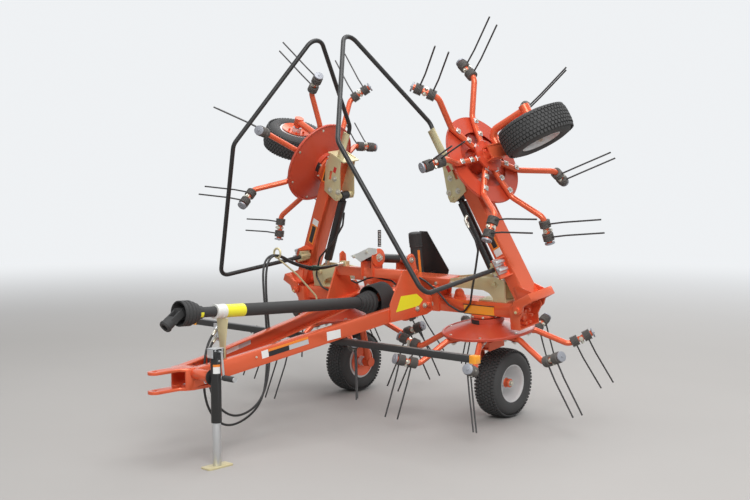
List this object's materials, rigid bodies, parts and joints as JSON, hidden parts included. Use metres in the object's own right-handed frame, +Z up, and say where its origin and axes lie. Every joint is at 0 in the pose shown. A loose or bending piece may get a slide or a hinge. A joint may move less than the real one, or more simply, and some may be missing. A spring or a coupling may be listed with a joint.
{
  "type": "hay tedder",
  "caption": "Trailed hay tedder with tined rotors on a folding beam, wings folded up, on its wheels and drawbar jack.",
  "frame": {"origin": "centre of the hitch clevis pin hole, midway between the two lugs", "axes": "+X to the machine's left, +Y to its rear (it travels towards -Y), +Z up along the hitch pin"},
  "size_m": [2.6306, 2.7196, 2.3296],
  "materials": {
    "red_paint": "gloss",
    "black_paint": "satin",
    "gold_zinc": "satin",
    "silver_zinc": "satin",
    "rim_silver": "satin",
    "tyre_rubber": "matte",
    "black_plastic": "matte",
    "amber": "gloss",
    "hose_rubber": "satin"
  },
  "bodies": {
    "drawbar": {"drawbar": "red_paint", "headstock_left": "red_paint", "headstock_right": "red_paint", "crossbar": "red_paint", "marker_bar": "black_paint", "marker_tips": "amber", "driveline_rest": "gold_zinc", "hose_hook": "gold_zinc", "hydraulic_hose_one": "hose_rubber", "hydraulic_hose_two": "hose_rubber", "hose_couplers": "silver_zinc"},
    "jack": {"jack_tube": "black_paint", "jack_crank": "silver_zinc"},
    "jack_leg": {"jack_inner": "silver_zinc", "jack_foot": "gold_zinc"},
    "beam": {"beam": "red_paint", "beam_tower": "red_paint", "centre_gearbox": "red_paint", "driveline_shield": "black_plastic", "fold_plates_left": "gold_zinc", "fold_plates_right": "gold_zinc", "sign_plate": "black_paint", "document_tube": "black_plastic", "wheel_leg_inner_left": "red_paint", "wheel_leg_inner_right": "red_paint"},
    "tilt_barrel": {"tilt_barrel": "black_paint"},
    "tilt_rod": {"tilt_rod": "silver_zinc"},
    "driveline_rear": {"driveline_cone_rear": "black_plastic", "driveline_tube": "black_plastic"},
    "driveline_front": {"driveline_shaft": "black_plastic", "driveline_cone_front": "black_plastic", "pto_yoke": "black_plastic"},
    "wing_left": {"wing_left": "red_paint", "gold_plates_left": "gold_zinc", "guard_hoop_left": "black_paint", "wheel_leg_outer_left": "red_paint"},
    "fold_barrel_left": {"fold_barrel_left": "black_paint"},
    "fold_rod_left": {"fold_rod_left": "silver_zinc"},
    "wing_right": {"wing_right": "red_paint", "gold_plates_right": "gold_zinc", "guard_hoop_right": "black_paint", "wheel_leg_outer_right": "red_paint"},
    "fold_barrel_right": {"fold_barrel_right": "black_paint"},
    "fold_rod_right": {"fold_rod_right": "silver_zinc"},
    "rotor_inner_left": {"rotor_dish_inner_left": "red_paint", "rotor_arms_inner_left": "red_paint"},
    "wheel_inner_left": {"tyre_inner_left": "tyre_rubber", "rim_inner_left": "rim_silver"},
    "rotor_inner_right": {"rotor_dish_inner_right": "red_paint", "rotor_arms_inner_right": "red_paint"},
    "wheel_inner_right": {"tyre_inner_right": "tyre_rubber", "rim_inner_right": "rim_silver"},
    "rotor_outer_left": {"rotor_dish_outer_left": "red_paint", "rotor_arms_outer_left": "red_paint"},
    "wheel_outer_left": {"tyre_outer_left": "tyre_rubber", "rim_outer_left": "rim_silver"},
    "rotor_outer_right": {"rotor_dish_outer_right": "red_paint", "rotor_arms_outer_right": "red_paint"},
    "wheel_outer_right": {"tyre_outer_right": "tyre_rubber", "rim_outer_right": "rim_silver"}
  },
  "joints": [
    {"name": "jack_swivel", "type": "hinge", "parent": "drawbar", "child": "jack", "pos_m": [0.1, 0.19, 0.028], "axis": [1, 0, 0], "range_deg": [0, 90]},
    {"name": "jack_extend", "type": "slide", "parent": "jack", "child": "jack_leg", "axis": [0, 0, 1], "range_m": [-0.16, 0.13]},
    {"name": "beam_pitch", "type": "hinge", "parent": "drawbar", "child": "beam", "pos_m": [0, 1.746, 0.258], "axis": [1, 0, 0], "range_deg": [-4, 4]},
    {"name": "tilt_cylinder_pivot", "type": "hinge", "parent": "drawbar", "child": "tilt_barrel", "pos_m": [0, 1.581, 0.53], "axis": [1, 0, 0], "range_deg": [-3, 3]},
    {"name": "tilt_cylinder_stroke", "type": "slide", "parent": "tilt_barrel", "child": "tilt_rod", "axis": [0, 0.9964, -0.0844], "range_m": [-0.03, 0.03]},
    {"name": "wing_fold_left", "type": "hinge", "parent": "beam", "child": "wing_left", "pos_m": [0.905, 1.91016, 0.27831], "axis": [0, 0.9914, 0.1305], "range_deg": [0, 117]},
    {"name": "fold_cylinder_pivot_left", "type": "hinge", "parent": "wing_left", "child": "fold_barrel_left", "pos_m": [0.47139, 1.82898, 0.89492], "axis": [0, 0.9914, 0.1305], "range_deg": [-3, 3]},
    {"name": "fold_cylinder_stroke_left", "type": "slide", "parent": "fold_barrel_left", "child": "fold_rod_left", "axis": [0.4307, 0.1178, -0.8948], "range_m": [-0.01, 0.42]},
    {"name": "wing_fold_right", "type": "hinge", "parent": "beam", "child": "wing_right", "pos_m": [-0.905, 1.91016, 0.27831], "axis": [0, 0.9914, 0.1305], "range_deg": [-117, 0]},
    {"name": "fold_cylinder_pivot_right", "type": "hinge", "parent": "wing_right", "child": "fold_barrel_right", "pos_m": [-0.47139, 1.82898, 0.89492], "axis": [0, 0.9914, 0.1305], "range_deg": [-3, 3]},
    {"name": "fold_cylinder_stroke_right", "type": "slide", "parent": "fold_barrel_right", "child": "fold_rod_right", "axis": [-0.4307, 0.1178, -0.8948], "range_m": [-0.01, 0.42]},
    {"name": "rotor_spin_inner_left", "type": "hinge", "parent": "beam", "child": "rotor_inner_left", "pos_m": [0.605, 1.92086, 0.19701], "axis": [0, -0.1305, 0.9914], "continuous": true},
    {"name": "wheel_spin_inner_left", "type": "hinge", "parent": "beam", "child": "wheel_inner_left", "pos_m": [0.617, 2.06561, -0.213], "axis": [1, 0, 0], "continuous": true},
    {"name": "rotor_spin_inner_right", "type": "hinge", "parent": "beam", "child": "rotor_inner_right", "pos_m": [-0.605, 1.92086, 0.19701], "axis": [0, -0.1305, 0.9914], "continuous": true},
    {"name": "wheel_spin_inner_right", "type": "hinge", "parent": "beam", "child": "wheel_inner_right", "pos_m": [-0.617, 2.06561, -0.213], "axis": [1, 0, 0], "continuous": true},
    {"name": "rotor_spin_outer_left", "type": "hinge", "parent": "wing_left", "child": "rotor_outer_left", "pos_m": [0.5899, 1.80586, 1.07051], "axis": [-0.891, 0.0593, -0.4501], "continuous": true},
    {"name": "wheel_spin_outer_left", "type": "hinge", "parent": "wing_left", "child": "wheel_outer_left", "pos_m": [0.97438, 1.87128, 1.26313], "axis": [-0.454, -0.1163, 0.8834], "continuous": true},
    {"name": "rotor_spin_outer_right", "type": "hinge", "parent": "wing_right", "child": "rotor_outer_right", "pos_m": [-0.5899, 1.80586, 1.07051], "axis": [0.891, 0.0593, -0.4501], "continuous": true},
    {"name": "wheel_spin_outer_right", "type": "hinge", "parent": "wing_right", "child": "wheel_outer_right", "pos_m": [-0.97438, 1.87128, 1.26313], "axis": [0.454, -0.1163, 0.8834], "continuous": true},
    {"name": "driveline_lift", "type": "hinge", "parent": "drawbar", "child": "driveline_rear", "pos_m": [0, 1.53849, 0.2667], "axis": [-1, 0, 0], "range_deg": [0, 12]},
    {"name": "driveline_length", "type": "slide", "parent": "driveline_rear", "child": "driveline_front", "axis": [0, -0.999, 0.0451], "range_m": [-0.08, 0.25]}
  ],
  "couplings": [
    {"joint": "tilt_cylinder_pivot", "follows": "beam_pitch", "ratio": 0.39146},
    {"joint": "tilt_cylinder_stroke", "follows": "beam_pitch", "m_per_rad": -0.25705},
    {"joint": "fold_cylinder_pivot_left", "follows": "wing_fold_left", "ratio": -0.003379},
    {"joint": "fold_cylinder_stroke_left", "follows": "wing_fold_left", "m_per_rad": 0.19207},
    {"joint": "fold_cylinder_pivot_right", "follows": "wing_fold_right", "ratio": -0.003379},
    {"joint": "fold_cylinder_stroke_right", "follows": "wing_fold_right", "m_per_rad": -0.19207},
    {"joint": "rotor_spin_inner_right", "follows": "rotor_spin_inner_left", "ratio": -1},
    {"joint": "rotor_spin_outer_left", "follows": "rotor_spin_inner_left", "ratio": -1},
    {"joint": "rotor_spin_outer_right", "follows": "rotor_spin_inner_left", "ratio": 1}
  ]
}
